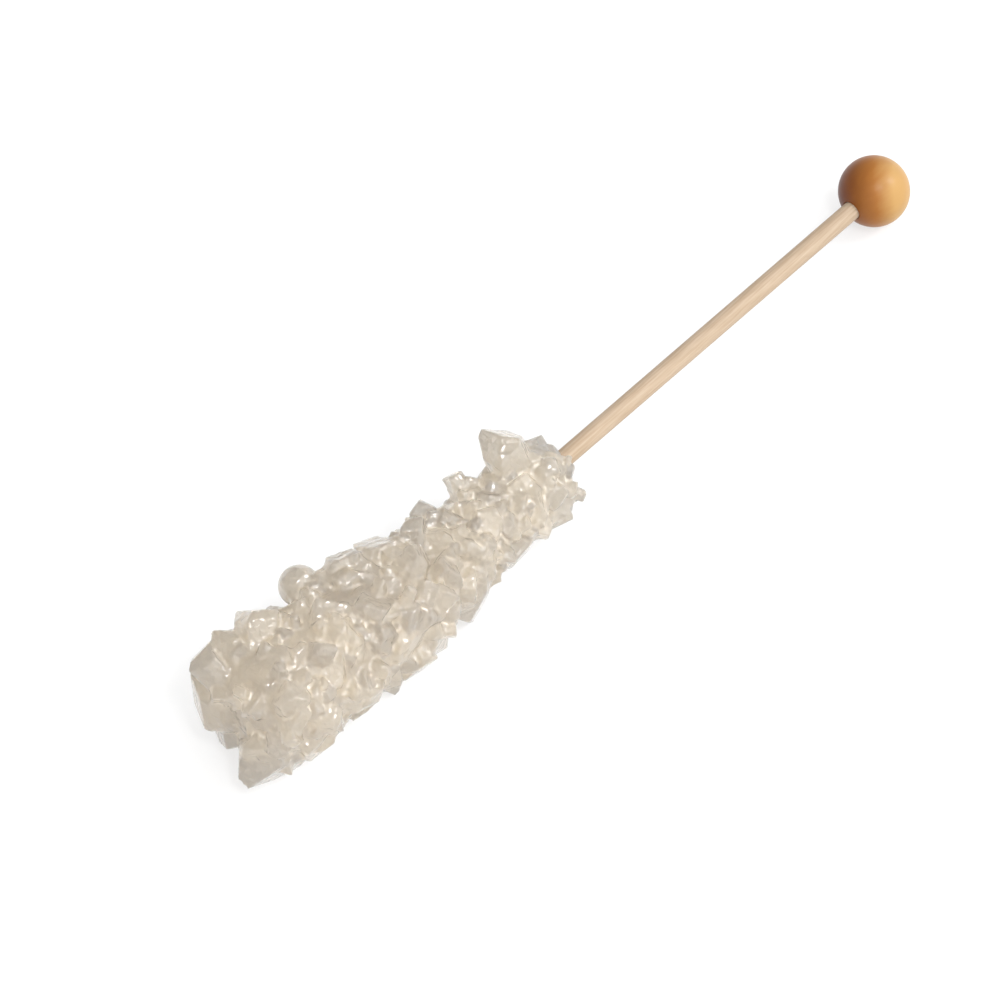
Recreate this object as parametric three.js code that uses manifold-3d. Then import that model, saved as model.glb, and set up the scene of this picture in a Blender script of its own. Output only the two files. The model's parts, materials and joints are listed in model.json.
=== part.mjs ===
// Rock candy stick: sugar crystals grown on one end of a round wooden stick, with a turned wooden
// ball on its other end. It lies on a table, resting on the ball and on the fat end of the candy.
// Millimetres, +Z up, +X along the stick towards the ball, origin under the middle of the object.
import * as THREE from 'three';
import { ConvexGeometry } from 'three/addons/geometries/ConvexGeometry.js';
import { mergeVertices } from 'three/addons/utils/BufferGeometryUtils.js';
import Module from 'manifold-3d';

// Driving dimensions. A station is a distance from the ball's centre along the stick.
const BALL_RADIUS = 6;
const BALL_FLAT = 0.05; // worn flat that the ball rests on
const STICK_RADIUS = 1.59; // 1/8 inch dowel
const STICK_EDGE = 0.3; // chamfer on both ends of the stick
const STICK_IN_BALL = 4.4; // depth of the stick's end inside the ball
const STICK_GAP = 0.15; // room around the stick in both holes
const HOLE_MOUTH_RADIUS = 2.45; // countersink where the stick enters the ball
const HOLE_MOUTH_DEPTH = 1.1;
const CANDY_START = 80.2; // station where the crystals begin
const CANDY_LENGTH = 75.3;
const STICK_CLEARING = 3.4; // crystals stand at least this far in from the candy's start
const START_SETBACK = 0.6; // and their tips keep this far from it
const STICK_SHORT_OF_END = 7; // sugar between the stick's end and the end of the core
const TILT = THREE.MathUtils.degToRad(1.7); // the candy is fatter than the ball, so the stick rises
const CRYSTAL_COUNT = 150;
const SEED = 20191;

// How the sugar grows along the candy: core radius, how far the longest crystals reach, the half
// width of an ordinary crystal, and the side on which the candy is fattest, in degrees from straight
// up towards -Y. "at" is the distance from CANDY_START.
const GROWTH = [
  { at: 0, core: 2.8, reach: 6.4, size: 1.8, side: 28 },
  { at: 3, core: 4.5, reach: 7.4, size: 1.9, side: 28 },
  { at: 8, core: 5.1, reach: 8.0, size: 2.0, side: 28 },
  { at: 13, core: 4.8, reach: 7.4, size: 1.9, side: 28 },
  { at: 17, core: 5.2, reach: 8.0, size: 2.0, side: 28 },
  { at: 26, core: 6.2, reach: 9.2, size: 2.2, side: 28 },
  { at: 35, core: 7.4, reach: 10.6, size: 2.5, side: 28 },
  { at: 43, core: 8.5, reach: 11.8, size: 2.8, side: 18 },
  { at: 57, core: 9.6, reach: 12.8, size: 3.0, side: -20 },
  { at: 68, core: 9.8, reach: 12.8, size: 3.1, side: -20 },
  { at: 72, core: 8.6, reach: 12.4, size: 3.1, side: -20 },
  { at: 74, core: 6.2, reach: 10.8, size: 3.1, side: -20 },
  { at: 75, core: 0, reach: 9.4, size: 3.1, side: -20 },
];
const LOPSIDED = 0.17; // share by which the fattest side is fatter

// Largest crystals. "station" and "reach" place the tip, along the stick and out from its axis, and
// "angle" goes round the stick from straight up towards -Y. "wide" and "deep" are half widths, "lean"
// is the tip's slant towards the ball and "turn" the twist about the crystal's own axis, in degrees.
const BIG_CRYSTALS = [
  { station: 88.4, angle: -28, reach: 12.5, wide: 3.7, deep: 3.9, lean: -5, turn: 162, blunt: 0 }, // horn
  { station: 77.8, angle: -101, reach: 7.5, wide: 2.1, deep: 2.2, lean: 27, turn: 43, blunt: 0 }, // spike
  { station: 96.6, angle: -50, reach: 11.7, wide: 1.9, deep: 1.3, lean: 9, turn: 80, blunt: 1 }, // peg
  { station: 104.5, angle: -49, reach: 10.6, wide: 2.2, deep: 1.6, lean: 23, turn: 118, blunt: 0 }, // tooth
  { station: 116.8, angle: -34, reach: 13.3, wide: 3.6, deep: 3.2, lean: 18, turn: 169, blunt: 0.8 },
  { station: 124.2, angle: -33, reach: 15.3, wide: 3.1, deep: 1.9, lean: 8, turn: 146, blunt: 0.8 }, // block
  { station: 141.3, angle: -42, reach: 16.2, wide: 3.9, deep: 4.0, lean: 30, turn: 152, blunt: 0.5 },
  { station: 145.7, angle: -52, reach: 14.8, wide: 3.3, deep: 3.6, lean: 41, turn: 226, blunt: 0.5 },
  { station: 153.3, angle: -59, reach: 15.6, wide: 3.4, deep: 2.5, lean: -7, turn: 49, blunt: 0.3 },
  { station: 157.2, angle: -97, reach: 12.1, wide: 5.6, deep: 3.3, lean: -59, turn: 238, blunt: 0.5 },
  { station: 154.0, angle: -140, reach: 11.8, wide: 4.2, deep: 3.1, lean: -36, turn: 102, blunt: 0 },
  { station: 156.2, angle: 20, reach: 8.0, wide: 3.4, deep: 3.0, lean: -55, turn: 10, blunt: 1 },
  { station: 154.4, angle: 157, reach: 11.1, wide: 5.5, deep: 5.6, lean: -26, turn: 151, blunt: 0 }, // wedge
  { station: 80.7, angle: 127, reach: 6.8, wide: 1.1, deep: 1.1, lean: 29, turn: 218, blunt: 0 },
  { station: 86.8, angle: 129, reach: 8.6, wide: 3.5, deep: 3.1, lean: -11, turn: 81, blunt: 0.3 },
  { station: 96.2, angle: 110, reach: 9.5, wide: 3.8, deep: 2.7, lean: 5, turn: 13, blunt: 0.6 },
  { station: 110.0, angle: 128, reach: 10.6, wide: 4.6, deep: 3.8, lean: -19, turn: 344, blunt: 0 }, // block
  { station: 121.4, angle: 117, reach: 11.8, wide: 5.0, deep: 4.0, lean: -14, turn: 6, blunt: 0.5 },
  { station: 123.9, angle: 117, reach: 13.1, wide: 3.5, deep: 2.2, lean: -8, turn: 52, blunt: 0.8 },
  { station: 128.9, angle: 143, reach: 10.7, wide: 2.2, deep: 1.9, lean: -58, turn: 343, blunt: 0 }, // tooth
  { station: 134.2, angle: 130, reach: 11.9, wide: 2.9, deep: 2.7, lean: 10, turn: 158, blunt: 0.9 },
  { station: 146.7, angle: 103, reach: 12.5, wide: 4.0, deep: 4.3, lean: 0, turn: 108, blunt: 0.8 },
];
// One crystal grew round as a pebble.
const PEBBLE = { station: 131, angle: -58, middle: 12.4, radius: 3.5 };

// Sugar grows in slanted blocks: angles between the normals of its faces.
const SIDE_SLANT = THREE.MathUtils.degToRad(76.5);
const BEVEL_SLANT = THREE.MathUtils.degToRad(-64.5);
const ROOF_SLOPE = THREE.MathUtils.degToRad(50);
const GABLE_SLOPE = THREE.MathUtils.degToRad(45);

const wasm = await Module();
wasm.setup();

// Repeatable random numbers from 0 to 1, the 32-bit mulberry generator.
function randomFrom(seed) {
  let state = seed >>> 0;
  return () => {
    state = (state + 0x6d2b79f5) >>> 0;
    let mixed = Math.imul(state ^ (state >>> 15), 1 | state);
    mixed = (mixed + Math.imul(mixed ^ (mixed >>> 7), 61 | mixed)) ^ mixed;
    return ((mixed ^ (mixed >>> 14)) >>> 0) / 4294967296;
  };
}

// Value of one column of GROWTH at a distance from the candy's start.
function grown(column, at) {
  const last = GROWTH.length - 1;
  if (at <= GROWTH[0].at) return GROWTH[0][column];
  if (at >= GROWTH[last].at) return GROWTH[last][column];
  const upper = GROWTH.findIndex((row) => row.at > at);
  const [low, high] = [GROWTH[upper - 1], GROWTH[upper]];
  return THREE.MathUtils.mapLinear(at, low.at, high.at, low[column], high[column]);
}

function lopsided(at, angle) {
  return 1 + LOPSIDED * Math.cos(angle - THREE.MathUtils.degToRad(grown('side', at)));
}

// The stick's frame has its origin at the ball's centre and the candy towards -X.
const outward = (angle) => new THREE.Vector3(0, -Math.sin(angle), Math.cos(angle));

function toManifold(geometry) {
  const bare = geometry.clone();
  bare.deleteAttribute('normal');
  bare.deleteAttribute('uv');
  const merged = mergeVertices(bare, 1e-4);
  return new wasm.Manifold(
    new wasm.Mesh({
      numProp: 3,
      vertProperties: new Float32Array(merged.attributes.position.array),
      triVerts: new Uint32Array(merged.index.array),
    }),
  );
}

function toGeometry(solid) {
  const mesh = solid.getMesh();
  const geometry = new THREE.BufferGeometry();
  const points = new Float32Array(mesh.numVert * 3);
  for (let i = 0; i < mesh.numVert; i++)
    points.set(mesh.vertProperties.subarray(i * mesh.numProp, i * mesh.numProp + 3), i * 3);
  geometry.setAttribute('position', new THREE.BufferAttribute(points, 3));
  geometry.setIndex(new THREE.BufferAttribute(mesh.triVerts, 1));
  geometry.computeVertexNormals();
  return geometry;
}

// The solid's main body: loose scraps are dropped and sealed hollows are filled.
function mainBody(solid) {
  const bodies = solid.decompose();
  return bodies.reduce((best, body) => (body.volume() > best.volume() ? body : best));
}

// Corners of the convex body that lies inside every plane {normal, distance}.
function cornersInside(planes) {
  const corners = [];
  const inside = (point) => planes.every((p) => p.normal.dot(point) <= p.distance + 1e-7);
  for (let i = 0; i < planes.length; i++)
    for (let j = i + 1; j < planes.length; j++)
      for (let k = j + 1; k < planes.length; k++) {
        const [a, b, c] = [planes[i], planes[j], planes[k]];
        const across = new THREE.Vector3().crossVectors(b.normal, c.normal);
        const volume = a.normal.dot(across);
        if (Math.abs(volume) < 1e-6) continue;
        const point = across
          .multiplyScalar(a.distance)
          .addScaledVector(new THREE.Vector3().crossVectors(c.normal, a.normal), b.distance)
          .addScaledVector(new THREE.Vector3().crossVectors(a.normal, b.normal), c.distance)
          .divideScalar(volume);
        if (inside(point) && corners.every((q) => q.distanceTo(point) > 1e-5)) corners.push(point);
      }
  return corners;
}

// One crystal with its long axis on +Z from its root at z = 0 to its tip, as a convex geometry.
// "skew" moves the tip's ridge sideways and "blunt" cuts the tip off square.
function crystalGeometry({ wide, deep, bevel, length, skew, blunt }) {
  const slanted = (angle) => new THREE.Vector3(Math.sin(angle), Math.cos(angle), 0);
  const front = slanted(0);
  const side = slanted(SIDE_SLANT);
  const cut = slanted(BEVEL_SLANT);
  const up = new THREE.Vector3(0, 0, 1);
  const sloped = (normal, slope, height) => {
    const tipped = normal.clone().multiplyScalar(Math.cos(slope)).addScaledVector(up, Math.sin(slope));
    return { normal: tipped, distance: height * Math.sin(slope) };
  };
  const planes = [
    { normal: up.clone().negate(), distance: 0 },
    { normal: front, distance: deep },
    { normal: front.clone().negate(), distance: deep },
    { normal: side, distance: wide },
    { normal: side.clone().negate(), distance: wide },
    { normal: cut, distance: bevel },
    { normal: cut.clone().negate(), distance: bevel },
    sloped(side, ROOF_SLOPE, length + skew),
    sloped(side.clone().negate(), ROOF_SLOPE, length - skew),
    sloped(front, GABLE_SLOPE, length + deep * 0.3),
  ];
  const cutOff = Math.min(blunt * wide * 0.8, length * 0.6);
  if (blunt > 0) planes.push({ normal: up, distance: length - cutOff });
  return new ConvexGeometry(cornersInside(planes));
}

// Turns a crystal so that it grows along "direction" from "root", twisted about its own axis.
function planted(geometry, root, direction, twist) {
  const turn = new THREE.Quaternion().setFromUnitVectors(new THREE.Vector3(0, 0, 1), direction);
  const spin = new THREE.Quaternion().setFromAxisAngle(new THREE.Vector3(0, 0, 1), twist);
  geometry.applyQuaternion(turn.multiply(spin));
  return geometry.translate(root.x, root.y, root.z);
}

// Shares the core's skin out evenly: the place along the candy and the slope for each share.
function skinShares(count) {
  const steps = 400;
  const width = CANDY_LENGTH / steps;
  const strips = [];
  let area = 0;
  for (let i = 0; i < steps; i++) {
    const at = width * (i + 0.5);
    const rise = grown('core', at + width / 2) - grown('core', at - width / 2);
    area += (grown('core', at) / grown('size', at) ** 2) * Math.hypot(width, rise);
    strips.push({ at, slope: Math.atan2(rise, width), area });
  }
  return Array.from({ length: count }, (_, i) => strips.find((s) => s.area >= (area * (i + 0.5)) / count));
}

// The ordinary crystals: a golden-angle spiral round the core and over its ends.
function spreadCrystals() {
  const random = randomFrom(SEED);
  const between = (low, high) => low + (high - low) * random();
  const golden = Math.PI * (3 - Math.sqrt(5));
  return skinShares(CRYSTAL_COUNT).map((share, i) => {
    const angle = i * golden + between(-0.3, 0.3);
    const at = THREE.MathUtils.clamp(share.at + between(-1, 1), STICK_CLEARING, CANDY_LENGTH - 1.2);
    const core = grown('core', at) * lopsided(at, angle);
    const wide = grown('size', at) * between(0.75, 1.4);
    const deep = wide * between(0.65, 1.0);
    // Where the core's surface slopes, at its two ends, the crystals lean along the stick.
    const tip = -THREE.MathUtils.clamp(share.slope, -1.4, 0.4) * 0.8 + between(-0.7, 0.7);
    const swerve = new THREE.Vector3(0, 1, 0).applyAxisAngle(new THREE.Vector3(1, 0, 0), angle);
    const direction = outward(angle).multiplyScalar(Math.cos(tip));
    direction.x = -Math.sin(tip);
    direction.addScaledVector(swerve, between(-0.7, 0.7)).normalize();
    const upright = Math.max(direction.dot(outward(angle)), 0.45);
    const rootRadius = core * 0.5;
    const root = outward(angle).multiplyScalar(rootRadius);
    root.x = -(CANDY_START + at) - direction.x * core * 0.4;
    const tips = grown('reach', at) * lopsided(at, angle) * between(0.9, 1.03);
    const overhang = wide * 0.6 * Math.sqrt(1 - upright ** 2);
    const outOfEnd = (CANDY_LENGTH - at + core * 0.1) / Math.max(-direction.x, 0.1);
    const outOfStart = (at - START_SETBACK + core * 0.1) / Math.max(direction.x, 0.1);
    const wanted = Math.max((tips - rootRadius - overhang) / upright, wide * 1.3);
    const length = Math.min(wanted, outOfEnd, outOfStart);
    const bevel = wide * between(0.75, 1.5);
    const skew = wide * between(-0.5, 0.5);
    const twist = between(0, 2 * Math.PI);
    const blunt = Math.max(0, between(-0.4, 1.1));
    return { shape: { wide, deep, bevel, length, skew, blunt }, root, direction, twist };
  });
}

function bigCrystals() {
  return BIG_CRYSTALS.map((big) => {
    const angle = THREE.MathUtils.degToRad(big.angle);
    const tip = THREE.MathUtils.degToRad(big.lean);
    const direction = outward(angle).multiplyScalar(Math.cos(tip));
    direction.x = Math.sin(tip);
    const rootRadius = big.reach * 0.35;
    const length = (big.reach - rootRadius) / Math.cos(tip);
    const root = outward(angle).multiplyScalar(rootRadius);
    root.x = -big.station - direction.x * length;
    const { wide, deep, blunt } = big;
    const shape = { wide, deep, bevel: wide * 0.95, length, skew: 0, blunt };
    return { shape, root, direction, twist: THREE.MathUtils.degToRad(big.turn) };
  });
}

function pebbleGeometry() {
  const pebble = new THREE.IcosahedronGeometry(PEBBLE.radius, 1);
  const middle = outward(THREE.MathUtils.degToRad(PEBBLE.angle)).multiplyScalar(PEBBLE.middle);
  return pebble.translate(-PEBBLE.station, middle.y, middle.z);
}

function coreGeometry() {
  const profile = [new THREE.Vector2(0, 0), ...GROWTH.map((row) => new THREE.Vector2(row.core, row.at))];
  const core = new THREE.LatheGeometry(profile, 18);
  core.rotateZ(Math.PI / 2);
  const points = core.attributes.position;
  for (let i = 0; i < points.count; i++) {
    const side = THREE.MathUtils.degToRad(grown('side', -points.getX(i)));
    const shift = outward(side).multiplyScalar(LOPSIDED * Math.hypot(points.getY(i), points.getZ(i)));
    points.setY(i, points.getY(i) + shift.y);
    points.setZ(i, points.getZ(i) + shift.z);
  }
  return core.translate(-CANDY_START, 0, 0);
}

// A rod or blind hole on the stick's axis, from one station to a farther one.
function rodGeometry(radius, from, to, edge) {
  const length = to - from;
  const profile = [
    new THREE.Vector2(0, 0),
    new THREE.Vector2(radius - edge, 0),
    new THREE.Vector2(radius, edge),
    new THREE.Vector2(radius, length - edge),
    new THREE.Vector2(radius - edge, length),
    new THREE.Vector2(0, length),
  ];
  const rod = new THREE.LatheGeometry(profile, 32);
  rod.rotateZ(Math.PI / 2);
  return rod.translate(-from, 0, 0);
}

const stickStart = BALL_RADIUS - STICK_IN_BALL;
const stickEnd = CANDY_START + CANDY_LENGTH - STICK_SHORT_OF_END;

function ballGeometry() {
  const holeRadius = STICK_RADIUS + STICK_GAP;
  const holeEnd = stickStart - STICK_GAP;
  const mouth = Math.sqrt(BALL_RADIUS ** 2 - HOLE_MOUTH_RADIUS ** 2);
  const profile = [new THREE.Vector2(0, holeEnd), new THREE.Vector2(holeRadius, holeEnd)];
  profile.push(new THREE.Vector2(holeRadius, mouth - HOLE_MOUTH_DEPTH));
  const rings = 20;
  const first = Math.acos(mouth / BALL_RADIUS);
  for (let i = 0; i <= rings; i++) {
    const angle = THREE.MathUtils.lerp(first, Math.PI, i / rings);
    profile.push(new THREE.Vector2(BALL_RADIUS * Math.sin(angle), BALL_RADIUS * Math.cos(angle)));
  }
  profile[profile.length - 1].x = 0;
  const ball = new THREE.LatheGeometry(profile.reverse(), 40);
  return ball.rotateZ(Math.PI / 2);
}

// The stick's frame, tilted and lifted so that the ball and the candy's fat end rest on z = 0.
const lying = new THREE.Group();
lying.rotation.y = TILT;
lying.position.z = BALL_RADIUS - BALL_FLAT;
lying.updateMatrix();

// Everything above the table, in the stick's frame.
function aboveTable() {
  const room = new THREE.BoxGeometry(400, 100, 100).translate(0, 0, 50);
  return toManifold(room.applyMatrix4(lying.matrix.clone().invert()));
}

function candySolid() {
  let candy = toManifold(coreGeometry()).add(toManifold(pebbleGeometry()));
  for (const { shape, root, direction, twist } of [...spreadCrystals(), ...bigCrystals()])
    candy = candy.add(toManifold(planted(crystalGeometry(shape), root, direction, twist)));
  const hole = rodGeometry(STICK_RADIUS + STICK_GAP, CANDY_START - 20, stickEnd + STICK_GAP, STICK_EDGE);
  candy = mainBody(candy).subtract(toManifold(hole)).intersect(aboveTable());
  return mainBody(candy);
}

function piece(name, geometry, color, roughness) {
  const mesh = new THREE.Mesh(geometry, new THREE.MeshStandardMaterial({ color, roughness, metalness: 0 }));
  mesh.name = name;
  lying.add(mesh);
  return mesh;
}

piece('ball', toGeometry(toManifold(ballGeometry()).intersect(aboveTable())), 0xc98f45, 0.35);
piece('stick', rodGeometry(STICK_RADIUS, stickStart, stickEnd, STICK_EDGE), 0xe3c9a6, 0.7);
piece('crystals', toGeometry(candySolid()), 0xd8cfc0, 0.25);

// The origin goes under the middle of the whole object.
const part = new THREE.Group();
part.add(lying);
part.updateMatrixWorld(true);
const bounds = new THREE.Box3().setFromObject(part, true);
lying.position.x -= (bounds.min.x + bounds.max.x) / 2;
lying.position.y -= (bounds.min.y + bounds.max.y) / 2;

export default part;
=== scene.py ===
# Rock candy stick lying on a white table: a varnished wooden ball, a birch dowel and the sugar
# crystals grown round its other end. Shapes are made in millimetres in the stick's own frame, with
# the ball's centre at 0 and the candy towards -X, then laid down on the table in metres.
import itertools
import json
import math

import bmesh
import bpy
import numpy as np
from mathutils import Matrix, Quaternion, Vector
from mathutils.bvhtree import BVHTree

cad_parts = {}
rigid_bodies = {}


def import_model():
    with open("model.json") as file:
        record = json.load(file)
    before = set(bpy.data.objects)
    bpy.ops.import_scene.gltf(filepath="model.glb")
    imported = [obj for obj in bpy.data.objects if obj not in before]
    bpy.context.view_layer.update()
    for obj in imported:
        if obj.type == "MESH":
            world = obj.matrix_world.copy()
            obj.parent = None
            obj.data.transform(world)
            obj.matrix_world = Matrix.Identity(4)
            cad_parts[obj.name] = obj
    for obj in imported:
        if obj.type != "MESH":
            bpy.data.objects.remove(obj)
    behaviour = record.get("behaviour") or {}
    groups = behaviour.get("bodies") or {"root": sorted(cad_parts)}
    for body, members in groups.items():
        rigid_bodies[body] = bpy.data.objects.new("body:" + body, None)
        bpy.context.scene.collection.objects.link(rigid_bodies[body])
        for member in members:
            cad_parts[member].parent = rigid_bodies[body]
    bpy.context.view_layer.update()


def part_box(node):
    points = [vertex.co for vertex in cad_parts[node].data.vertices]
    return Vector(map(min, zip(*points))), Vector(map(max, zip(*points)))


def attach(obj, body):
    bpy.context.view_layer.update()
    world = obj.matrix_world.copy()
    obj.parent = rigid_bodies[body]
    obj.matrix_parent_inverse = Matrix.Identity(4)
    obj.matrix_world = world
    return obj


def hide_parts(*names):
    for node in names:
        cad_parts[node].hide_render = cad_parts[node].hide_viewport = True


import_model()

mm = 0.001
goldenAngle = math.pi * (3 - math.sqrt(5))
tiny = 1e-6  # what counts as nothing
touching = 1e-7  # mm between a point and a face that it lies on

# How the object lies: the stick rises towards the candy, which is fatter than the ball.
lying = {
    "tiltDegrees": 1.7,
    "ballRadius": 6.0,
    "ballFlat": 0.05,
}


def lyingMatrix():
    low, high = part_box("ball")
    tilt = math.radians(lying["tiltDegrees"])
    x = high.x - lying["ballRadius"] * mm * math.cos(tilt)
    z = (lying["ballRadius"] - lying["ballFlat"]) * mm
    place = Matrix.Translation((x, (low.y + high.y) / 2, z))
    return place @ Matrix.Rotation(tilt, 4, "Y") @ Matrix.Scale(mm, 4)


toTable = lyingMatrix()


# Helpers for colours, nodes and meshes.
def linear(code):
    channels = [int(code[i:i + 2], 16) / 255 for i in (1, 3, 5)]
    return [c / 12.92 if c <= 0.04045 else ((c + 0.055) / 1.055) ** 2.4 for c in channels] + [1.0]


def addNode(tree, kind, values=None, links=None, stops=(), **settings):
    node = tree.nodes.new(kind)
    for name, value in settings.items():
        setattr(node, name, value)
    for i, (position, code) in enumerate(stops):  # of a colour ramp
        elements = node.color_ramp.elements
        element = elements[i] if i < len(elements) else elements.new(position)
        element.position = position
        element.color = linear(code)
    for socket, value in (values or {}).items():
        node.inputs[socket].default_value = value
    for socket, source in (links or {}).items():
        tree.links.new(source, node.inputs[socket])
    return node


def newMaterial(name):
    material = bpy.data.materials.new(name)
    material.use_nodes = True
    material.node_tree.nodes.clear()
    return material, material.node_tree


def newPiece(name, mesh, material, nodeName):
    piece = bpy.data.objects.new(name, mesh)
    bpy.context.scene.collection.objects.link(piece)
    mesh.materials.clear()
    mesh.materials.append(material)
    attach(piece, "root")
    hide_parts(nodeName)
    return piece


def shadeSmooth(mesh, sharpDegrees):
    mesh.polygons.foreach_set("use_smooth", [True] * len(mesh.polygons))
    mesh.set_sharp_from_angle(angle=math.radians(sharpDegrees))


def latheMesh(name, profile, sides):
    # Turns a profile of (radius, distance along the stick) round the stick's axis, candy towards -X.
    bm = bmesh.new()
    rings = []
    for radius, along in profile:
        if radius < tiny:
            rings.append([bm.verts.new((-along, 0, 0))])
            continue
        angles = [2 * math.pi * i / sides for i in range(sides)]
        rings.append([bm.verts.new((-along, -radius * math.sin(a), radius * math.cos(a)))
                      for a in angles])
    for first, second in zip(rings, rings[1:]):
        for i in range(sides):
            j = (i + 1) % sides
            corners = [first[i % len(first)], first[j % len(first)]]
            corners += [second[j % len(second)], second[i % len(second)]]
            bm.faces.new(dict.fromkeys(corners))
    bmesh.ops.recalc_face_normals(bm, faces=bm.faces)
    mesh = bpy.data.meshes.new(name)
    bm.to_mesh(mesh)
    bm.free()
    return mesh


# Camera first: it looks down on the table, over the candy's fat end.
cameraSpec = {
    "elevation": 52.0,
    "azimuth": -48.44,
    "distance": 3.0,
    "imageWidth": 0.16584,  # width of the picture at the ball, in metres
    "aimRight": -0.06203,  # the middle of the picture, seen from the ball's centre
    "aimUp": -0.05122,
    "sensorWidth": 36,
    "clipEnd": 20,
}


def makeCamera():
    azimuth = math.radians(cameraSpec["azimuth"])
    elevation = math.radians(cameraSpec["elevation"])
    back = Vector((math.sin(azimuth) * math.cos(elevation), -math.cos(azimuth) * math.cos(elevation),
                   math.sin(elevation)))
    right = Vector((math.cos(azimuth), math.sin(azimuth), 0))
    up = back.cross(right)
    ballCentre = toTable.translation
    data = bpy.data.cameras.new("camera")
    data.sensor_width = cameraSpec["sensorWidth"]
    data.lens = cameraSpec["sensorWidth"] * cameraSpec["distance"] / cameraSpec["imageWidth"]
    data.clip_end = cameraSpec["clipEnd"]
    camera = bpy.data.objects.new("camera", data)
    bpy.context.scene.collection.objects.link(camera)
    camera.location = ballCentre + back * cameraSpec["distance"]
    camera.location += right * cameraSpec["aimRight"] + up * cameraSpec["aimUp"]
    camera.rotation_mode = "QUATERNION"
    camera.rotation_quaternion = (-back).to_track_quat("-Z", "Y")
    bpy.context.scene.camera = camera


makeCamera()
print("camera placed")

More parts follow.
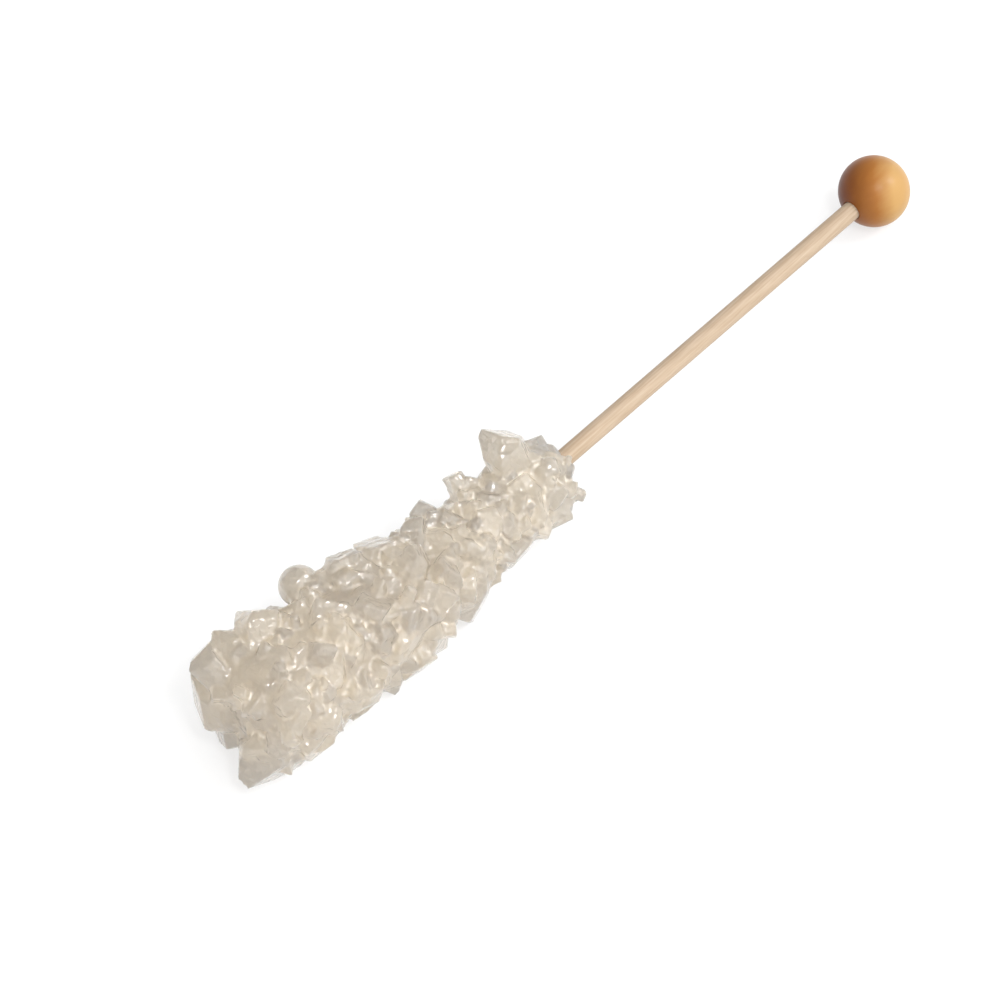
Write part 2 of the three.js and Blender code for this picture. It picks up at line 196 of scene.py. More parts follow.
# The candy. Lengths in mm; "at" is the distance from the candy's start, at "start" from the ball's
# centre. Each row of growth is (at, core radius, reach of the longest crystals, half width of an
# ordinary crystal, fattest side in degrees from straight up towards -Y).
candy = {
    "start": 80.2,
    "length": 75.3,
    "lopsided": 0.17,
    "growth": [
        (0, 2.8, 6.4, 1.8, 28), (3, 4.5, 7.4, 1.9, 28), (8, 5.1, 8.0, 2.0, 28),
        (13, 4.8, 7.4, 1.9, 28), (17, 5.2, 8.0, 2.0, 28), (26, 6.2, 9.2, 2.2, 28),
        (35, 7.4, 10.6, 2.5, 28), (43, 8.5, 11.8, 2.8, 18), (57, 9.6, 12.8, 3.0, -20),
        (68, 9.8, 12.8, 3.1, -20), (72, 8.6, 12.4, 3.1, -20), (74, 6.2, 10.8, 3.1, -20),
        (75, 0, 9.4, 3.1, -20),
    ],
    "coreSides": 36,
    "seed": 20191,
    "clearing": 3.4,  # crystals stand at least this far in from the start
    "setback": 0.6,  # and their tips keep this far from it
    # A crystal's form: slants and slopes of its faces in degrees, how far the gable stands up for
    # the crystal's depth, and how much of its width and at most of its length a blunt tip loses.
    "sideSlant": 76.5,
    "bevelSlant": -64.5,
    "roofSlope": 50.0,
    "gableSlope": 45.0,
    "gableRise": 0.3,
    "bluntWidth": 0.8,
    "bluntLength": 0.6,
    # How the crystals vary: turn, lean and swerve in radians either way, shift along the candy in
    # mm, half width against an ordinary crystal's, depth and bevel against the half width, and
    # tips against the reach of the longest ones. Roots start at this part of the core's radius,
    # and the shortest crystal is this long against its half width.
    "ordinary": {"count": 150, "turn": 0.3, "shift": 1, "lean": 0.7, "swerve": 0.7, "endGap": 1.2,
                 "size": (0.75, 1.4), "depth": (0.65, 1.0), "tips": (0.9, 1.03),
                 "bevel": (0.75, 1.5), "roots": 0.5, "steepest": (-1.4, 0.4), "stubby": 1.3},
    "skew": (-0.5, 0.5),  # of the roof's ridge, against the half width
    "blunt": (-0.4, 1.1),  # those below 0 keep their points
    "follow": 0.8,  # how much the crystals follow the slope of the core
    "flattest": 0.45,  # cosine of the most that a crystal leans
    "back": 0.4,  # how far a leaning crystal's root is moved back, against the core's radius
    "sunk": 0.1,  # how far a crystal's root counts as sunk, against the core's radius
    "leastSlant": 0.1,  # crystals count as leaning this much where the candy's ends limit them
    "overhang": 0.6,  # how far a leaning crystal's edge stands up, against its half width
    # The largest crystals: station and reach of the tip, angle round the stick, half width, half
    # depth, slant towards the ball, twist, bluntness.
    "big": [
        (88.4, 12.5, -28, 3.7, 3.9, -5, 162, 0), (77.8, 7.5, -101, 2.1, 2.2, 27, 43, 0),
        (96.6, 11.7, -50, 1.9, 1.3, 9, 80, 1), (104.5, 10.6, -49, 2.2, 1.6, 23, 118, 0),
        (116.8, 13.3, -34, 3.6, 3.2, 18, 169, 0.8), (124.2, 15.3, -33, 3.1, 1.9, 8, 146, 0.8),
        (141.3, 16.2, -42, 3.9, 4.0, 30, 152, 0.5), (145.7, 14.8, -52, 3.3, 3.6, 41, 226, 0.5),
        (153.3, 15.6, -59, 3.4, 2.5, -7, 49, 0.3), (157.2, 12.1, -97, 5.6, 3.3, -59, 238, 0.5),
        (154.0, 11.8, -140, 4.2, 3.1, -36, 102, 0), (156.2, 8.0, 20, 3.4, 3.0, -55, 10, 1),
        (154.4, 11.1, 157, 5.5, 5.6, -26, 151, 0), (80.7, 6.8, 127, 1.1, 1.1, 29, 218, 0),
        (86.8, 8.6, 129, 3.5, 3.1, -11, 81, 0.3), (96.2, 9.5, 110, 3.8, 2.7, 5, 13, 0.6),
        (110.0, 10.6, 128, 4.6, 3.8, -19, 344, 0), (121.4, 11.8, 117, 5.0, 4.0, -14, 6, 0.5),
        (123.9, 13.1, 117, 3.5, 2.2, -8, 52, 0.8), (128.9, 10.7, 143, 2.2, 1.9, -58, 343, 0),
        (134.2, 11.9, 130, 2.9, 2.7, 10, 158, 0.9), (146.7, 12.5, 103, 4.0, 4.3, 0, 108, 0.8),
    ],
    "bigRoots": 0.35,  # where they start, against their reach
    "bigBevel": 0.95,
    "pebble": (131.0, 12.4, -58, 3.5),  # one crystal grew round: station, reach, angle, radius
    "melt": 0.34,  # damp air rounds the edges and fills the creases by about this much
    "meltSteps": 2,
    "meltPull": 0.5,
    # Finer crystals that fill the gaps, in two layers, and how both vary.
    "fillers": [
        {"count": 240, "seed": 41, "size": (0.55, 0.95), "tips": (0.78, 0.93)},
        {"count": 200, "seed": 77, "size": (0.3, 0.5), "tips": (0.8, 0.92)},
    ],
    "fine": {"turn": 0.5, "shift": 0.8, "lean": 0.8, "swerve": 0.8, "startGap": 1.6, "endGap": 1.5,
             "depth": (0.6, 1.0), "bevel": (0.8, 1.4), "roots": 0.8, "steepest": (-1.4, 0.3),
             "stubby": 1.2},
    "boreRadius": 1.74,
    "boreEnd": 148.65,
    "boreEdge": 0.3,
    "boreSides": 48,
    "boreLead": 20,  # the cutter starts this far before the candy
    "underTable": (0.6, 0.2, 0.1),  # block that cuts off what would stand in the table, in metres
    "seamBend": (0.06, 0.3),  # how far the skin bends in at the joints between crystals
    "sharpDegrees": 150,
}


def randomFrom(seed):
    # the 32-bit mulberry generator
    state = seed & 0xFFFFFFFF
    while True:
        state = (state + 0x6D2B79F5) & 0xFFFFFFFF
        mixed = ((state ^ (state >> 15)) * (1 | state)) & 0xFFFFFFFF
        product = ((mixed ^ (mixed >> 7)) * (61 | mixed)) & 0xFFFFFFFF
        mixed = ((mixed + product) & 0xFFFFFFFF) ^ mixed
        yield (mixed ^ (mixed >> 14)) / 4294967296


def drawsBetween(seed):
    # random numbers between two limits, one after the other
    draw = randomFrom(seed)
    return lambda low, high: low + (high - low) * next(draw)


def grown(column, at):
    rows = candy["growth"]
    return float(np.interp(at, [row[0] for row in rows], [row[column] for row in rows]))


def coreRadius(at):
    return grown(1, at)


def tipReach(at):
    return grown(2, at)


def halfWidth(at):
    return grown(3, at)


def lopsided(at, angle):
    return 1 + candy["lopsided"] * math.cos(angle - math.radians(grown(4, at)))


def outward(angle):
    return Vector((0, -math.sin(angle), math.cos(angle)))


def clamp(value, low, high):
    return min(max(value, low), high)


def leaning(angle, lean, swerve):
    # the way a crystal points: outwards, leaning along the stick and swerving round it
    direction = outward(angle) * math.cos(lean)
    direction.x = -math.sin(lean)
    return (direction + Vector((0, math.cos(angle), math.sin(angle))) * swerve).normalized()


def crystalCorners(shape):
    # Corners of a slanted sugar block with its root at 0 and its tip up +Z.
    wide, deep, bevel, length, skew, blunt = shape

    def slanted(degrees):
        return np.array((math.sin(math.radians(degrees)), math.cos(math.radians(degrees)), 0))

    def sloped(normal, degrees, height):
        slope = math.radians(degrees)
        return normal * math.cos(slope) + np.array((0, 0, math.sin(slope))), height * math.sin(slope)

    front, side, cut = slanted(0), slanted(candy["sideSlant"]), slanted(candy["bevelSlant"])
    roof, gable = candy["roofSlope"], candy["gableSlope"]
    planes = [(np.array((0, 0, -1.0)), 0), (front, deep), (-front, deep), (side, wide), (-side, wide)]
    planes += [(cut, bevel), (-cut, bevel)]
    planes += [sloped(side, roof, length + skew), sloped(-side, roof, length - skew)]
    planes += [sloped(front, gable, length + deep * candy["gableRise"])]
    if blunt > 0:
        cutOff = min(blunt * wide * candy["bluntWidth"], length * candy["bluntLength"])
        planes.append((np.array((0, 0, 1.0)), length - cutOff))
    normals = np.array([plane[0] for plane in planes])
    distances = np.array([plane[1] for plane in planes])
    triples = np.array(list(itertools.combinations(range(len(planes)), 3)))
    systems = normals[triples]
    solvable = np.abs(np.linalg.det(systems)) > tiny
    points = np.linalg.solve(systems[solvable], distances[triples[solvable]][..., None])[..., 0]
    points = points[(points @ normals.T <= distances + touching).all(axis=1)]
    return np.unique(points.round(5), axis=0)


def crystalMesh(shape, root, direction, twist):
    bm = bmesh.new()
    for corner in crystalCorners(shape):
        bm.verts.new(corner)
    bmesh.ops.convex_hull(bm, input=bm.verts)
    turn = Vector((0, 0, 1)).rotation_difference(direction) @ Quaternion((0, 0, 1), twist)
    bm.transform(Matrix.Translation(root) @ turn.to_matrix().to_4x4())
    bmesh.ops.recalc_face_normals(bm, faces=bm.faces)
    mesh = bpy.data.meshes.new("crystal")
    bm.to_mesh(mesh)
    bm.free()
    return mesh


def skinShares(count):
    # Shares the core's skin out evenly: the place along the candy and the slope for each share.
    steps = 400
    width = candy["length"] / steps
    strips, area = [], 0
    for i in range(steps):
        at = width * (i + 0.5)
        rise = coreRadius(at + width / 2) - coreRadius(at - width / 2)
        area += coreRadius(at) / halfWidth(at) ** 2 * math.hypot(width, rise)
        strips.append((at, math.atan2(rise, width), area))
    wanted = [area * (i + 0.5) / count for i in range(count)]
    return [next(strip for strip in strips if strip[2] >= share) for share in wanted]


def spreadCrystals():
    between = drawsBetween(candy["seed"])
    vary = candy["ordinary"]
    crystals = []
    for i, (place, slope, _) in enumerate(skinShares(vary["count"])):
        angle = i * goldenAngle + between(-vary["turn"], vary["turn"])
        at = place + between(-vary["shift"], vary["shift"])
        at = clamp(at, candy["clearing"], candy["length"] - vary["endGap"])
        core = coreRadius(at) * lopsided(at, angle)
        wide = halfWidth(at) * between(*vary["size"])
        deep = wide * between(*vary["depth"])
        lean = -clamp(slope, *vary["steepest"]) * candy["follow"] + between(-vary["lean"], vary["lean"])
        direction = leaning(angle, lean, between(-vary["swerve"], vary["swerve"]))
        upright = max(direction.dot(outward(angle)), candy["flattest"])
        rootRadius = core * vary["roots"]
        root = outward(angle) * rootRadius
        root.x = -(candy["start"] + at) - direction.x * core * candy["back"]
        tips = tipReach(at) * lopsided(at, angle) * between(*vary["tips"])
        overhang = wide * candy["overhang"] * math.sqrt(1 - upright ** 2)
        sunk = core * candy["sunk"]
        outOfEnd = (candy["length"] - at + sunk) / max(-direction.x, candy["leastSlant"])
        outOfStart = (at - candy["setback"] + sunk) / max(direction.x, candy["leastSlant"])
        length = max((tips - rootRadius - overhang) / upright, wide * vary["stubby"])
        length = min(length, outOfEnd, outOfStart)
        bevel = wide * between(*vary["bevel"])
        skew = wide * between(*candy["skew"])
        twist = between(0, 2 * math.pi)
        blunt = max(0, between(*candy["blunt"]))
        crystals.append(((wide, deep, bevel, length, skew, blunt), root, direction, twist))
    return crystals


def bigCrystals():
    crystals = []
    for station, reach, around, wide, deep, lean, turn, blunt in candy["big"]:
        angle, tip = math.radians(around), math.radians(lean)
        direction = outward(angle) * math.cos(tip)
        direction.x = math.sin(tip)
        rootRadius = reach * candy["bigRoots"]
        length = (reach - rootRadius) / math.cos(tip)
        root = outward(angle) * rootRadius
        root.x = -station - direction.x * length
        shape = (wide, deep, wide * candy["bigBevel"], length, 0, blunt)
        crystals.append((shape, root, direction, math.radians(turn)))
    return crystals


def fillerCrystals(layer):
    between = drawsBetween(layer["seed"])
    vary = candy["fine"]
    crystals = []
    for i, (place, slope, _) in enumerate(skinShares(layer["count"])):
        angle = i * goldenAngle + between(-vary["turn"], vary["turn"])
        at = place + between(-vary["shift"], vary["shift"])
        at = clamp(at, vary["startGap"], candy["length"] - vary["endGap"])
        wide = halfWidth(at) * between(*layer["size"])
        deep = wide * between(*vary["depth"])
        lean = -clamp(slope, *vary["steepest"]) * candy["follow"] + between(-vary["lean"], vary["lean"])
        direction = leaning(angle, lean, between(-vary["swerve"], vary["swerve"]))
        rootRadius = coreRadius(at) * lopsided(at, angle) * vary["roots"]
        root = outward(angle) * rootRadius
        root.x = -(candy["start"] + at)
        tips = tipReach(at) * lopsided(at, angle) * between(*layer["tips"])
        upright = max(direction.dot(outward(angle)), candy["flattest"])
        outOfEnd = (candy["length"] - at) / max(-direction.x, candy["leastSlant"])
        outOfStart = at / max(direction.x, candy["leastSlant"])
        length = max((tips - rootRadius) / upright, wide * vary["stubby"])
        length = min(length, outOfEnd, outOfStart)
        bevel = wide * between(*vary["bevel"])
        skew = wide * between(*candy["skew"])
        blunt = max(0, between(*candy["blunt"]))
        shape = (wide, deep, bevel, length, skew, blunt)
        crystals.append((shape, root, direction, between(0, 2 * math.pi)))
    return crystals


def coreMesh():
    profile = [(0, 0)] + [(row[1], row[0]) for row in candy["growth"]]
    mesh = latheMesh("core", profile, candy["coreSides"])
    for vertex in mesh.vertices:
        side = outward(math.radians(grown(4, -vertex.co.x)))
        vertex.co += side * candy["lopsided"] * math.hypot(vertex.co.y, vertex.co.z)
        vertex.co.x -= candy["start"]
    return mesh


def pebbleMesh():
    station, reach, around, radius = candy["pebble"]
    middle = outward(math.radians(around)) * reach
    middle.x = -station
    bm = bmesh.new()
    bmesh.ops.create_icosphere(bm, subdivisions=4, radius=radius, matrix=Matrix.Translation(middle))
    mesh = bpy.data.meshes.new("pebble")
    bm.to_mesh(mesh)
    bm.free()
    return mesh


def applyModifiers(target):
    graph = bpy.context.evaluated_depsgraph_get()
    result = bpy.data.meshes.new_from_object(target.evaluated_get(graph), depsgraph=graph)
    target.modifiers.clear()
    target.data = result


def boolean(target, operation, meshes):
    # One Boolean with all the meshes as a collection, applied to the target's mesh.
    group = bpy.data.collections.new("cutters")
    bpy.context.scene.collection.children.link(group)
    for mesh in meshes:
        group.objects.link(bpy.data.objects.new(mesh.name, mesh))
    modifier = target.modifiers.new("join", "BOOLEAN")
    modifier.operation = operation
    modifier.solver = "MANIFOLD"
    modifier.operand_type = "COLLECTION"
    modifier.collection = group
    applyModifiers(target)
    for cutter in list(group.objects):
        bpy.data.objects.remove(cutter)
    bpy.data.collections.remove(group)


def melt(target):
    # An even fine mesh, slightly smoothed, rounds the edges and fills the creases.
    even = target.modifiers.new("even", "REMESH")
    even.mode = "VOXEL"
    even.voxel_size = candy["melt"]
    soft = target.modifiers.new("soft", "SMOOTH")
    soft.factor = candy["meltPull"]
    soft.iterations = candy["meltSteps"]
    applyModifiers(target)


def boreMesh():
    radius, end, edge = candy["boreRadius"], candy["boreEnd"], candy["boreEdge"]
    start = candy["start"] - candy["boreLead"]
    profile = [(0, start), (radius, start), (radius, end - edge), (radius - edge, end), (0, end)]
    return latheMesh("bore", profile, candy["boreSides"])


def tableMesh():
    # everything under the table's top, in the stick's frame
    size = candy["underTable"]
    bm = bmesh.new()
    bmesh.ops.create_cube(bm, size=1, matrix=Matrix.Diagonal((*size, 1)))
    bm.transform(toTable.inverted() @ Matrix.Translation((0, 0, -size[2] / 2)))
    mesh = bpy.data.meshes.new("under")
    bm.to_mesh(mesh)
    bm.free()
    return mesh


def keepMainBody(mesh):
    # loose scraps and sealed hollows are dropped
    bm = bmesh.new()
    bm.from_mesh(mesh)
    bm.verts.ensure_lookup_table()
    seen, islands = set(), []
    for start in bm.verts:
        if start in seen:
            continue
        island, stack = [], [start]
        seen.add(start)
        while stack:
            vertex = stack.pop()
            island.append(vertex)
            for linked in (edge.other_vert(vertex) for edge in vertex.link_edges):
                if linked not in seen:
                    seen.add(linked)
                    stack.append(linked)
        islands.append(island)
    islands.sort(key=len)
    loose = [vertex for island in islands[:-1] for vertex in island]
    bmesh.ops.delete(bm, geom=loose, context="VERTS")
    bm.to_mesh(mesh)
    bm.free()


def markCrystals(mesh, crystals):
    # Gives each crystal a random number of its own, for the material.
    vertices, faces, owners = [], [], []
    for number, crystal in enumerate(crystals):
        first = len(vertices)
        vertices += [vertex.co.copy() for vertex in crystal.vertices]
        faces += [[first + corner for corner in face.vertices] for face in crystal.polygons]
        owners += [number] * len(crystal.polygons)
    tree = BVHTree.FromPolygons(vertices, faces)
    draw = randomFrom(candy["seed"])
    tones = [next(draw) for _ in crystals]
    nearest = [owners[tree.find_nearest(vertex.co)[2]] for vertex in mesh.vertices]
    tone = mesh.attributes.new("crystalTone", "FLOAT", "POINT")
    tone.data.foreach_set("value", [tones[number] for number in nearest])


def markSeams(mesh):
    # Marks the joints between crystals, where the skin bends inwards, for the painted highlight streaks
    # that the material puts along them.
    count = len(mesh.vertices)
    points, normals = np.empty(count * 3), np.empty(count * 3)
    ends = np.empty(len(mesh.edges) * 2, dtype=int)
    mesh.vertices.foreach_get("co", points)
    mesh.vertex_normals.foreach_get("vector", normals)
    mesh.edges.foreach_get("vertices", ends)
    points, normals = points.reshape(-1, 3), normals.reshape(-1, 3)
    near, far = ends.reshape(-1, 2).T
    along = points[far] - points[near]
    along /= np.linalg.norm(along, axis=1)[:, None]
    rise = np.bincount(near, (along * normals[near]).sum(1), count)
    rise -= np.bincount(far, (along * normals[far]).sum(1), count)
    shared = np.bincount(ends, minlength=count)
    least, most = candy["seamBend"]
    depth = np.clip((rise / shared - least) / (most - least), 0, 1)
    seam = mesh.attributes.new("seam", "FLOAT", "POINT")
    seam.data.foreach_set("value", depth)


def candyMesh():
    body = bpy.data.objects.new("candyBody", coreMesh())
    bpy.context.scene.collection.objects.link(body)
    crystals = spreadCrystals() + bigCrystals()
    for layer in candy["fillers"]:
        crystals += fillerCrystals(layer)
    meshes = [pebbleMesh()] + [crystalMesh(*crystal) for crystal in crystals]
    print("crystals made:", len(meshes))
    boolean(body, "UNION", meshes)
    melt(body)
    boolean(body, "DIFFERENCE", [boreMesh(), tableMesh()])
    mesh = body.data
    bpy.data.objects.remove(body)
    keepMainBody(mesh)
    markCrystals(mesh, meshes)
    markSeams(mesh)
    bpy.data.batch_remove(meshes)
    mesh.transform(toTable)
    mesh.name = "sugarCrystals"
    print("crystals fused:", len(mesh.polygons), "faces")
    return mesh


# What the sugar is like inside and on its skin. Ramps run from the clearest crystal to the whitest,
# and the frost's from the faces to the joints between crystals, which are painted lighter as highlight
# streaks.
sugar = {
    "ior": 1.54,
    "cloudiness": 380,  # times per metre that light is scattered on its way through
    "forward": 0.5,
    "syrup": 24,  # depth of the cream cast
    "syrupColour": "#ECCB85",
    "tints": [(0, "#E6E1D9"), (1, "#EFECE6")],
    "roughness": 0.28,
    "gloss": 1.0,
    "glossRoughness": 0.04,
    "frosted": (0.0, 0.22),  # share of the skin that is milky
    "seamPaintedHighlight": 0.55,  # painted highlight streaks: this much more white frost along the joints between crystals
    # frost colour from the faces to the joints, painted lighter at the joints as highlight streaks
    "frostTintsPaintedLightAtSeams": [(0, "#C4B69E"), (1, "#E6E2DA")],
    "frostRoughness": 0.2,
    "frostDepth": 0.012,
    "pits": 900,  # per metre of skin
    "pitHeight": 0.0001,
    "pitStrength": 0.25,
    "steps": 700,  # growth steps per metre of skin
    "stepHeight": 0.0006,
    "stepStrength": 0.6,
}


def rockSugarMaterial():
    # Rock sugar, grown slowly in syrup: glossy clear crystals, clouded inside by trapped syrup and
    # bubbles, so that thin tips stay glassy and the thick mass looks milky with a warm cream cast.
    # Growth steps break up the highlights, and the joints are painted whiter and more milky as bright
    # highlight streaks.
    material, tree = newMaterial("rockSugar")
    place = addNode(tree, "ShaderNodeTexCoord").outputs["Object"]
    tone = addNode(tree, "ShaderNodeAttribute", attribute_name="crystalTone").outputs["Fac"]
    seam = addNode(tree, "ShaderNodeAttribute", attribute_name="seam").outputs["Fac"]
    grain = addNode(tree, "ShaderNodeTexNoise", {"Scale": sugar["pits"], "Detail": 3},
                    {"Vector": place})
    pitted = addNode(tree, "ShaderNodeBump",
                     {"Strength": sugar["pitStrength"], "Distance": sugar["pitHeight"]},
                     {"Height": grain.outputs["Fac"]}).outputs["Normal"]
    ledges = addNode(tree, "ShaderNodeTexVoronoi", {"Scale": sugar["steps"]}, {"Vector": place},
                     distance="CHEBYCHEV")
    stepped = addNode(tree, "ShaderNodeBump",
                      {"Strength": sugar["stepStrength"], "Distance": sugar["stepHeight"]},
                      {"Height": ledges.outputs["Distance"], "Normal": pitted}).outputs["Normal"]
    tint = addNode(tree, "ShaderNodeValToRGB", links={"Fac": tone},
                   stops=sugar["tints"]).outputs["Color"]
    skin = addNode(tree, "ShaderNodeBsdfPrincipled",
                   {"Roughness": sugar["roughness"], "IOR": sugar["ior"],
                    "Transmission Weight": 1.0, "Coat Weight": sugar["gloss"],
                    "Coat Roughness": sugar["glossRoughness"], "Coat IOR": sugar["ior"]},
                   {"Base Color": tint, "Normal": stepped, "Coat Normal": stepped})
    # painted highlight: the frost turns whiter along the joints
    seamHighlightFrostColour = addNode(tree, "ShaderNodeValToRGB", links={"Fac": seam},
                    stops=sugar["frostTintsPaintedLightAtSeams"]).outputs["Color"]
    frost = addNode(tree, "ShaderNodeBsdfPrincipled",
                    {"Roughness": sugar["frostRoughness"], "IOR": sugar["ior"],
                     "Subsurface Weight": 1.0, "Subsurface Radius": (1, 1, 1),
                     "Subsurface Scale": sugar["frostDepth"]},
                    {"Base Color": seamHighlightFrostColour, "Normal": pitted}, subsurface_method="BURLEY")
    share = addNode(tree, "ShaderNodeMapRange",
                    {"To Min": sugar["frosted"][0], "To Max": sugar["frosted"][1]}, {"Value": tone})
    # painted highlight: more milky white frost along the joints
    milkyWithSeamHighlight = addNode(tree, "ShaderNodeMath", {1: sugar["seamPaintedHighlight"]},
                    {0: seam, 2: share.outputs["Result"]}, operation="MULTIPLY_ADD", use_clamp=True)
    surface = addNode(tree, "ShaderNodeMixShader",
                      links={0: milkyWithSeamHighlight.outputs["Value"], 1: skin.outputs["BSDF"],
                             2: frost.outputs["BSDF"]})
    cloud = addNode(tree, "ShaderNodeVolumeScatter",
                    {"Color": (1, 1, 1, 1), "Density": sugar["cloudiness"],
                     "Anisotropy": sugar["forward"]})
    cast = addNode(tree, "ShaderNodeVolumeAbsorption",
                   {"Color": linear(sugar["syrupColour"]), "Density": sugar["syrup"]})
    inside = addNode(tree, "ShaderNodeAddShader",
                     links={0: cloud.outputs["Volume"], 1: cast.outputs["Volume"]})
    addNode(tree, "ShaderNodeOutputMaterial",
            links={"Surface": surface.outputs["Shader"], "Volume": inside.outputs["Shader"]})
    return material


def makeCandy():
    mesh = candyMesh()
    shadeSmooth(mesh, candy["sharpDegrees"])
    newPiece("sugarCrystals", mesh, rockSugarMaterial(), "crystals")
    print("candy done")


makeCandy()

# The stick: a birch dowel, bare and sanded.
stick = {
    "radius": 1.59,
    "start": 1.6,
    "end": 148.5,
    "edge": 0.3,
    "sides": 64,
    "sharpDegrees": 30,
    "colours": [(0.3, "#9A846B"), (0.5, "#A49079"), (0.75, "#AE9B86")],  # from pores to pale wood
    "fibres": 3200,  # per metre across the stick
    "fibreStretch": 0.04,
    "fibreHeight": 0.0001,
    "fibreStrength": 0.15,
    "roughness": 0.6,
    "ior": 1.5,
}


def birchMaterial():
    # Birch dowel, sanded and unfinished: pale cream with fine straight fibres and darker pores.
    material, tree = newMaterial("sandedBirch")
    place = addNode(tree, "ShaderNodeTexCoord").outputs["Object"]
    turned = (0, -math.radians(lying["tiltDegrees"]), 0)
    straight = addNode(tree, "ShaderNodeMapping",
                       {"Rotation": turned, "Scale": (stick["fibreStretch"], 1, 1)}, {"Vector": place})
    fibre = addNode(tree, "ShaderNodeTexNoise", {"Scale": stick["fibres"], "Detail": 4},
                    {"Vector": straight.outputs["Vector"]}).outputs["Fac"]
    colour = addNode(tree, "ShaderNodeValToRGB", links={"Fac": fibre},
                     stops=stick["colours"]).outputs["Color"]
    bump = addNode(tree, "ShaderNodeBump",
                   {"Strength": stick["fibreStrength"], "Distance": stick["fibreHeight"]},
                   {"Height": fibre}).outputs["Normal"]
    shader = addNode(tree, "ShaderNodeBsdfPrincipled",
                     {"Roughness": stick["roughness"], "IOR": stick["ior"]},
                     {"Base Color": colour, "Normal": bump})
    addNode(tree, "ShaderNodeOutputMaterial", links={"Surface": shader.outputs["BSDF"]})
    return material


def makeStick():
    radius, start, end, edge = stick["radius"], stick["start"], stick["end"], stick["edge"]
    profile = [(0, start), (radius - edge, start), (radius, start + edge)]
    profile += [(radius, end - edge), (radius - edge, end), (0, end)]
    mesh = latheMesh("birchStick", profile, stick["sides"])
    mesh.transform(toTable)
    shadeSmooth(mesh, stick["sharpDegrees"])
    newPiece("birchStick", mesh, birchMaterial(), "stick")
    print("stick done")


makeStick()

# The ball: turned, dyed and varnished, with a countersunk hole for the stick.
ball = {
    "radius": 6.0,
    "holeRadius": 1.63,
    "holeEnd": 1.45,
    "mouthRadius": 1.76,
    "mouthDepth": 0.12,
    "sides": 96,
    "rings": 48,
    "sharpDegrees": 40,
    "stainsWithPaintedLightAndShade": [(0.1, "#5A2503"), (0.6, "#8F5920"), (0.88, "#AC8650")],  # from the side away from the light to the lit side: stain with painted shade and painted light
    # the lit side, towards which the colour turns golden as painted light
    "paintedLightSide": (0.66, -0.75, 0.1),
    "grain": 0.14,
    "streaks": 700,  # per metre across the grain
    "streakStretch": 0.18,
    "streakTurn": (0.4, 0.3, 0.9),
    "roughness": 0.36,
    "ior": 1.35,
}


def varnishedBallMaterial():
    # Turned beech under a satin stain, with soft grain. Its colour runs from reddish brown on the side
    # away from the light to golden on the lit side, partly the stain and partly painted shade and
    # light.
    material, tree = newMaterial("varnishedBeech")
    place = addNode(tree, "ShaderNodeTexCoord").outputs["Object"]
    towardsPaintedLight = Vector(ball["paintedLightSide"]).normalized() / (ball["radius"] * mm)
    middle = towardsPaintedLight.dot(toTable.translation)
    across = addNode(tree, "ShaderNodeVectorMath", {1: towardsPaintedLight}, {0: place}, operation="DOT_PRODUCT")
    streaks = addNode(tree, "ShaderNodeMapping",
                      {"Rotation": ball["streakTurn"], "Scale": (ball["streakStretch"], 1, 1)},
                      {"Vector": place})
    grain = addNode(tree, "ShaderNodeTexNoise", {"Scale": ball["streaks"], "Detail": 4},
                    {"Vector": streaks.outputs["Vector"]})
    # painted shade and light: darker away from the lit side, golden towards it
    depth = addNode(tree, "ShaderNodeMapRange", {"From Min": middle - 1, "From Max": middle + 1},
                    {"Value": across.outputs["Value"]})
    grainAndPaintedShading = addNode(tree, "ShaderNodeMath", {1: ball["grain"]},
                      {0: grain.outputs["Fac"], 2: depth.outputs["Result"]},
                      operation="MULTIPLY_ADD").outputs["Value"]
    colour = addNode(tree, "ShaderNodeValToRGB", links={"Fac": grainAndPaintedShading},
                     stops=ball["stainsWithPaintedLightAndShade"]).outputs["Color"]
    shader = addNode(tree, "ShaderNodeBsdfPrincipled",
                     {"Roughness": ball["roughness"], "IOR": ball["ior"]}, {"Base Color": colour})
    addNode(tree, "ShaderNodeOutputMaterial", links={"Surface": shader.outputs["BSDF"]})
    return material


def makeBall():
    radius, mouth = ball["radius"], ball["mouthRadius"]
    mouthAt = math.sqrt(radius ** 2 - mouth ** 2)
    hole, holeEnd = ball["holeRadius"], ball["holeEnd"]
    profile = [(0, holeEnd), (hole, holeEnd), (hole, mouthAt - ball["mouthDepth"])]
    first = math.asin(mouth / radius)
    for i in range(ball["rings"] + 1):
        angle = first + (math.pi - first) * i / ball["rings"]
        profile.append((radius * math.sin(angle), radius * math.cos(angle)))
    mesh = latheMesh("varnishedBall", profile, ball["sides"])
    mesh.transform(toTable)
    for vertex in mesh.vertices:
        vertex.co.z = max(vertex.co.z, 0)
    shadeSmooth(mesh, ball["sharpDegrees"])
    newPiece("varnishedBall", mesh, varnishedBallMaterial(), "ball")
    print("ball done")


makeBall()

# The studio: a glowing white table in a room that is bright in front and on the right, and two
# softboxes.
studio = {
    "brightSide": (-76, 8),  # side and height in degrees, from +X and above the table
    "bright": 1.9,
    "dark": 0.68,
    "fade": (-0.7, 1.0),  # where the dark side ends and the bright one begins
    "tableColour": "#959595",
    "tableGlow": 0.64,
    "tableRoughness": 0.5,
    "tableSize": 4,
    "softboxes": [(-41, 40, 30), (-108, 60, 24)],  # side, height, strength
    "softboxEdge": (0.993, 0.996),  # cosines: they are about 6 degrees in radius, with soft rims
    # how often light may turn, because it wanders far through the sugar
    "bounces": {"max_bounces": 32, "diffuse_bounces": 12, "transmission_bounces": 24,
                "volume_bounces": 24},
}


def pointing(side, height):
    side, height = math.radians(side), math.radians(height)
    return math.cos(side) * math.cos(height), math.sin(side) * math.cos(height), math.sin(height)


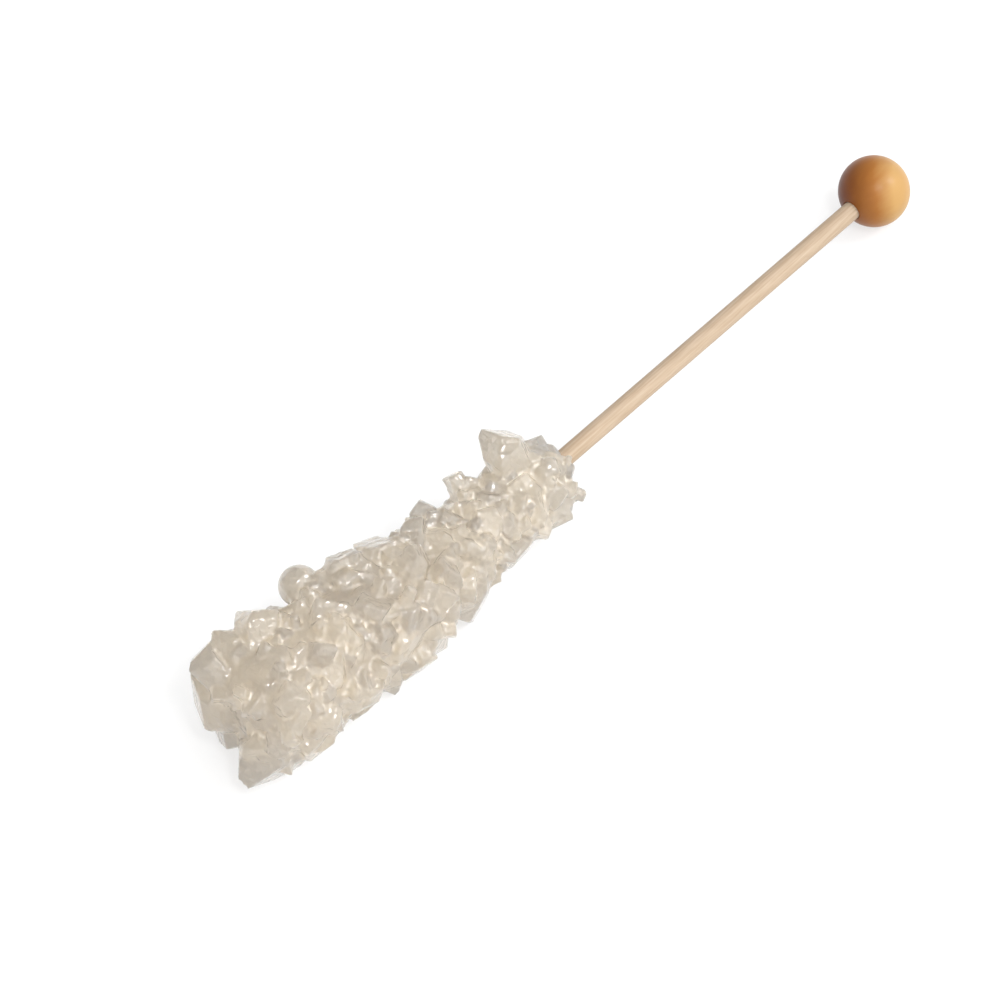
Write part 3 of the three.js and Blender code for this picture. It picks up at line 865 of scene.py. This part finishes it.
def makeWorld():
    world = bpy.data.worlds.new("whiteRoom")
    world.use_nodes = True
    tree = world.node_tree
    tree.nodes.clear()
    direction = addNode(tree, "ShaderNodeTexCoord").outputs["Generated"]
    across = addNode(tree, "ShaderNodeVectorMath", {1: pointing(*studio["brightSide"])},
                     {0: direction}, operation="DOT_PRODUCT")
    walls = addNode(tree, "ShaderNodeMapRange",
                    {"From Min": studio["fade"][0], "From Max": studio["fade"][1],
                     "To Min": studio["dark"], "To Max": studio["bright"]},
                    {"Value": across.outputs["Value"]}, interpolation_type="SMOOTHSTEP")
    light = walls.outputs["Result"]
    for side, height, power in studio["softboxes"]:
        towards = addNode(tree, "ShaderNodeVectorMath", {1: pointing(side, height)}, {0: direction},
                          operation="DOT_PRODUCT")
        box = addNode(tree, "ShaderNodeMapRange",
                      {"From Min": studio["softboxEdge"][0], "From Max": studio["softboxEdge"][1],
                       "To Max": power}, {"Value": towards.outputs["Value"]})
        light = addNode(tree, "ShaderNodeMath", links={0: light, 1: box.outputs["Result"]},
                        operation="ADD").outputs["Value"]
    sky = addNode(tree, "ShaderNodeBackground", {"Color": (1, 1, 1, 1)}, {"Strength": light})
    addNode(tree, "ShaderNodeOutputWorld", links={"Surface": sky.outputs["Background"]})
    bpy.context.scene.world = world


def makeStudio():
    scene = bpy.context.scene
    scene.view_settings.view_transform = "Standard"
    for setting, count in studio["bounces"].items():
        setattr(scene.cycles, setting, count)
    makeWorld()
    bm = bmesh.new()
    bmesh.ops.create_grid(bm, x_segments=1, y_segments=1, size=studio["tableSize"])
    mesh = bpy.data.meshes.new("table")
    bm.to_mesh(mesh)
    bm.free()
    table = bpy.data.objects.new("table", mesh)
    scene.collection.objects.link(table)
    material, tree = newMaterial("opalLightTable")
    shader = addNode(tree, "ShaderNodeBsdfPrincipled",
                     {"Base Color": linear(studio["tableColour"]),
                      "Roughness": studio["tableRoughness"], "Emission Color": (1, 1, 1, 1),
                      "Emission Strength": studio["tableGlow"]})
    addNode(tree, "ShaderNodeOutputMaterial", links={"Surface": shader.outputs["BSDF"]})
    mesh.materials.append(material)
    print("studio done")


makeStudio()
